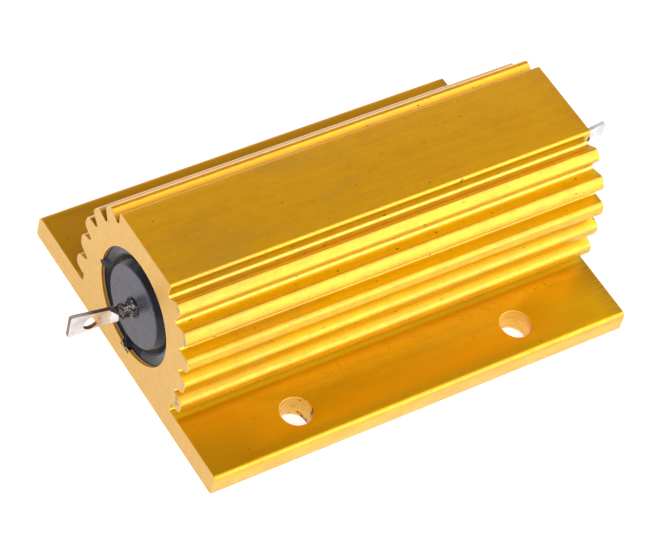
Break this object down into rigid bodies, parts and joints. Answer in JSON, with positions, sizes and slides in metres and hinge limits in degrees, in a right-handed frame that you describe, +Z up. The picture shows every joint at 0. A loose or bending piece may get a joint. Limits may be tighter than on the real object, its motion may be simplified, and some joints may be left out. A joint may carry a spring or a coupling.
{
  "type": "aluminium housed power resistor",
  "caption": "Wirewound power resistor moulded into a finned, gold-anodised aluminium extrusion with flanges for bolting to a heatsink and a flat solder lug at each end.",
  "frame": {"origin": "centre of the flat heatsink face under the base plate", "axes": "+X along the resistor from one solder lug to the other, +Y across the two mounting flanges, +Z up from the heatsink face to the top flat"},
  "size_m": [0.0842, 0.0466, 0.0234],
  "materials": {
    "anodised_aluminium": "gold anodised extrusion, satin",
    "moulding_compound": "black moulding compound, semi-matt",
    "steatite": "unglazed ceramic",
    "resistance_ribbon": "rolled nickel alloy ribbon",
    "cap_steel": "drawn steel",
    "tinned_copper": "tinned, with bare copper at the sheared edges"
  },
  "bodies": {
    "root": {"housing": "anodised_aluminium", "moulding": "moulding_compound", "ceramic_core": "steatite", "winding": "resistance_ribbon", "end_cap_right": "cap_steel", "end_cap_left": "cap_steel", "terminal_right": "tinned_copper", "terminal_left": "tinned_copper"}
  },
  "joints": []
}
